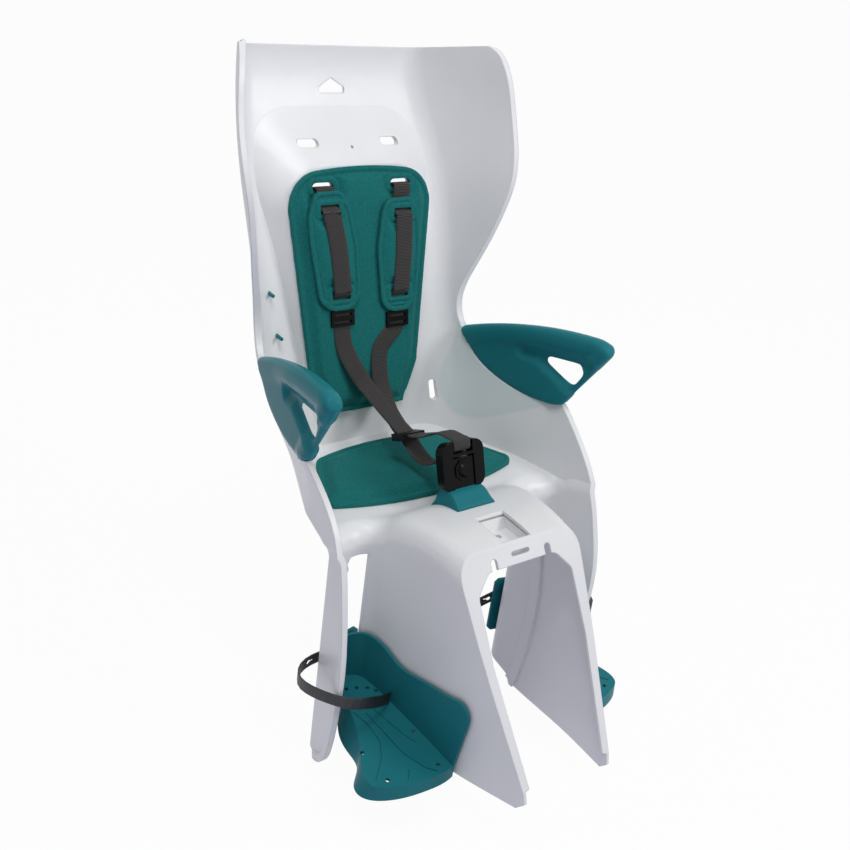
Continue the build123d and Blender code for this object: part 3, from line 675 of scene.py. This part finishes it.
# Armrests: a round rail along the top and front, a thinner web and a dish round the finger hole
def armrest(node, name, mirrored):
    obj = rounded_moulding(node, name, ARM_VOXEL, ARM_ROUNDING)
    mesh = obj.data
    points = read_points(mesh)
    outward = np.array([v.normal for v in mesh.vertices])
    free = np.array([v.groups[0].weight for v in mesh.vertices])
    flip = np.array((-1.0 if mirrored else 1.0, 1, 1))
    local = points * flip - ARM_AT
    across = local @ ARM_INWARD
    flat = np.stack([local @ ARM_AHEAD, local[:, 2], np.zeros(len(local))], 1)
    hole = np.concatenate([ring(FINGER_HOLE, True), ring(HOLE_TAIL, False)])
    from_hole = distance_to(hole, flat)
    thinned = HOLE_THINNED * (1 - smooth(from_hole, 0, HOLE_DISH))
    web = smooth(distance_to(ring(ARM_RAIL, False), flat), RAIL_FROM, RAIL_TO)
    swollen = smooth(flat[:, 0], *SWELL_AHEAD) * smooth(flat[:, 1], *SWELL_HEIGHT)
    thinned += WEB_THINNED * web - RAIL_SWELL * (1 - web) * swollen
    change = -(across - ARM_MIDDLE) * thinned
    # What the rounding took away is put back, away from the hole
    fatter = ARM_FATTER * free * smooth(from_hole, HOLE_LIP, HOLE_DISH)
    write_points(mesh, points + np.outer(change, ARM_INWARD) * flip + fatter[:, None] * outward)
    even_out(obj, DISH_SMOOTHING)
    shade(obj.data, TEAL_GLOSS)


armrest("armrest_left", "armrest_left_moulding", False)
armrest("armrest_right", "armrest_right_moulding", True)
shade(rounded_moulding("buckle_cap", "buckle_cap_moulding", CAP_VOXEL, CAP_ROUNDING).data, TEAL_SATIN)


# Webbing
def smooth_route(points, spacing):
    # A smooth line through the points, at even spacing
    p = np.array([tuple(v) for v in points])
    p = np.vstack([2 * p[0] - p[1], p, 2 * p[-1] - p[-2]])
    dense = []
    for a, b, c, d in zip(p, p[1:], p[2:], p[3:]):
        for t in np.linspace(0, 1, ROUTE_STEPS, endpoint=False):
            dense.append(
                0.5 * (2 * b + (c - a) * t + (2 * a - 5 * b + 4 * c - d) * t**2 + (3 * b - a - 3 * c + d) * t**3)
            )
    dense = np.array(dense + [p[-2]])
    run = np.concatenate([[0], np.cumsum(np.linalg.norm(np.diff(dense, axis=0), axis=1))])
    steps = np.linspace(0, run[-1], max(2, int(run[-1] / spacing)) + 1)
    return np.stack([np.interp(steps, run, dense[:, k]) for k in range(3)], 1), steps


def strap(name, points):
    # A woven band with ribs across it and rounded edges
    route, run = smooth_route(points, RIB_PITCH / 4)
    ahead = np.gradient(route, axis=0)
    ahead /= np.linalg.norm(ahead, axis=1)[:, None]
    side = np.array(ACROSS) - ahead * (ahead @ np.array(ACROSS))[:, None]
    side /= np.linalg.norm(side, axis=1)[:, None]
    up = np.cross(side, ahead)
    columns = WEB_SECTION + [(-a, -b) for a, b in WEB_SECTION]
    verts, ribs = [], []
    for at, s, u, w in zip(route, side, up, run):
        for a, b in columns:
            wave = 0.5 + 0.5 * math.cos(2 * math.pi * (w / RIB_PITCH + RIB_SLANT * a * WEBBING / RIB_PITCH))
            swell = RIB_HEIGHT * wave if abs(b) == 1 and abs(a) < 0.9 else 0
            verts.append(at + s * (a * WEBBING / 2) + u * (b * WEB_T / 2 + math.copysign(swell, b)))
            # Crest share of each point, which the webbing material turns into painted light and shade
            ribs.append(wave)
    width = len(columns)
    faces = []
    for i in range(len(route) - 1):
        for j in range(width):
            k = (j + 1) % width
            faces.append((i * width + j, i * width + k, (i + 1) * width + k, (i + 1) * width + j))
    faces.append(tuple(reversed(range(width))))
    faces.append(tuple((len(route) - 1) * width + j for j in range(width)))
    mesh = bpy.data.meshes.new(name)
    mesh.from_pydata([tuple(v) for v in verts], [], faces)
    mesh.attributes.new("rib", "FLOAT", "POINT").data.foreach_set("value", np.array(ribs, np.float32))
    shade(mesh, WEB_BLACK)
    obj = link(name, mesh)
    print(name, "length", round(float(run[-1]), 4))
    return obj


left = strap(
    "shoulder_webbing_left", [on_back(*p) for p in LEFT_ON_BACK] + [Vector(p) * MM for p in LEFT_FREE]
)
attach(left, "seat")
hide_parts("shoulder_strap_left")
right = strap(
    "shoulder_webbing_right",
    [on_back(*p) for p in RIGHT_ON_BACK] + [Vector(p) * MM for p in RIGHT_FREE],
)
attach(right, "seat")
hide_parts("shoulder_strap_right")
loop = strap("buckle_webbing", [Vector((0, y, z)) * MM for y, z in LOOP])
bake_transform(loop)
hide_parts("buckle_strap")


# Floor, light and camera
def seen_rays(tree):
    # 1 for what is seen straight on, mirrored in a surface or through it
    path = tree.nodes.new("ShaderNodeLightPath")
    rays = [path.outputs[f"Is {kind} Ray"] for kind in ("Camera", "Glossy", "Transmission")]
    return math_node(tree, "MAXIMUM", math_node(tree, "MAXIMUM", rays[0], rays[1]), rays[2])


def floor():
    mesh = bpy.data.meshes.new("floor")
    h = FLOOR_SIZE / 2
    z = cad_low.z - FLOOR_DROP
    mesh.from_pydata([(-h, -h, z), (h, -h, z), (h, h, z), (-h, h, z)], [], [(0, 1, 2, 3)])
    mat, tree, shader = new_material("floor", FLOOR_COLOUR, FLOOR_ROUGHNESS)
    pale = tree.nodes.new("ShaderNodeEmission")
    pale.inputs["Strength"].default_value = 1.0
    mix = tree.nodes.new("ShaderNodeMixShader")
    tree.links.new(math_node(tree, "MULTIPLY", seen_rays(tree), FLOOR_WHITE), mix.inputs["Fac"])
    tree.links.new(shader.outputs["BSDF"], mix.inputs[1])
    tree.links.new(pale.outputs["Emission"], mix.inputs[2])
    tree.links.new(mix.outputs["Shader"], tree.nodes["Material Output"].inputs["Surface"])
    mesh.materials.append(mat)
    link("floor", mesh)


def area_light(name, at, size, power):
    lamp = bpy.data.lights.new(name, "AREA")
    lamp.size = size
    lamp.energy = power
    obj = link(name, lamp)
    obj.location = at
    obj.rotation_mode = "QUATERNION"
    obj.rotation_quaternion = (Vector(LAMP_AIM) - Vector(at)).to_track_quat("-Z", "Y")


def world():
    sky = bpy.data.worlds.new("studio")
    sky.use_nodes = True
    tree = sky.node_tree
    ground = tree.nodes["Background"]
    ground.inputs["Color"].default_value = (*AMBIENT, 1)
    ground.inputs["Strength"].default_value = AMBIENT_STRENGTH
    white = tree.nodes.new("ShaderNodeBackground")
    white.inputs["Color"].default_value = (1, 1, 1, 1)
    mix = tree.nodes.new("ShaderNodeMixShader")
    tree.links.new(seen_rays(tree), mix.inputs["Fac"])
    tree.links.new(ground.outputs["Background"], mix.inputs[1])
    tree.links.new(white.outputs["Background"], mix.inputs[2])
    tree.links.new(mix.outputs["Shader"], tree.nodes["World Output"].inputs["Surface"])
    bpy.context.scene.world = sky


floor()
world()
for name, lamp in LAMPS.items():
    area_light(name, *lamp)

look = Vector(CAMERA_LOOK).normalized()
across = Vector(CAMERA_RIGHT).normalized()
lift = across.cross(look)
lens = bpy.data.cameras.new("camera")
lens.lens = CAMERA_LENS
lens.sensor_width = CAMERA_SENSOR
lens.clip_start = CAMERA_NEAR
camera = link("camera", lens)
camera.matrix_world = Matrix.Translation(CAMERA_AT) @ Matrix((across, lift, -look)).transposed().to_4x4()
bpy.context.scene.camera = camera
bpy.context.scene.view_settings.view_transform = "Standard"
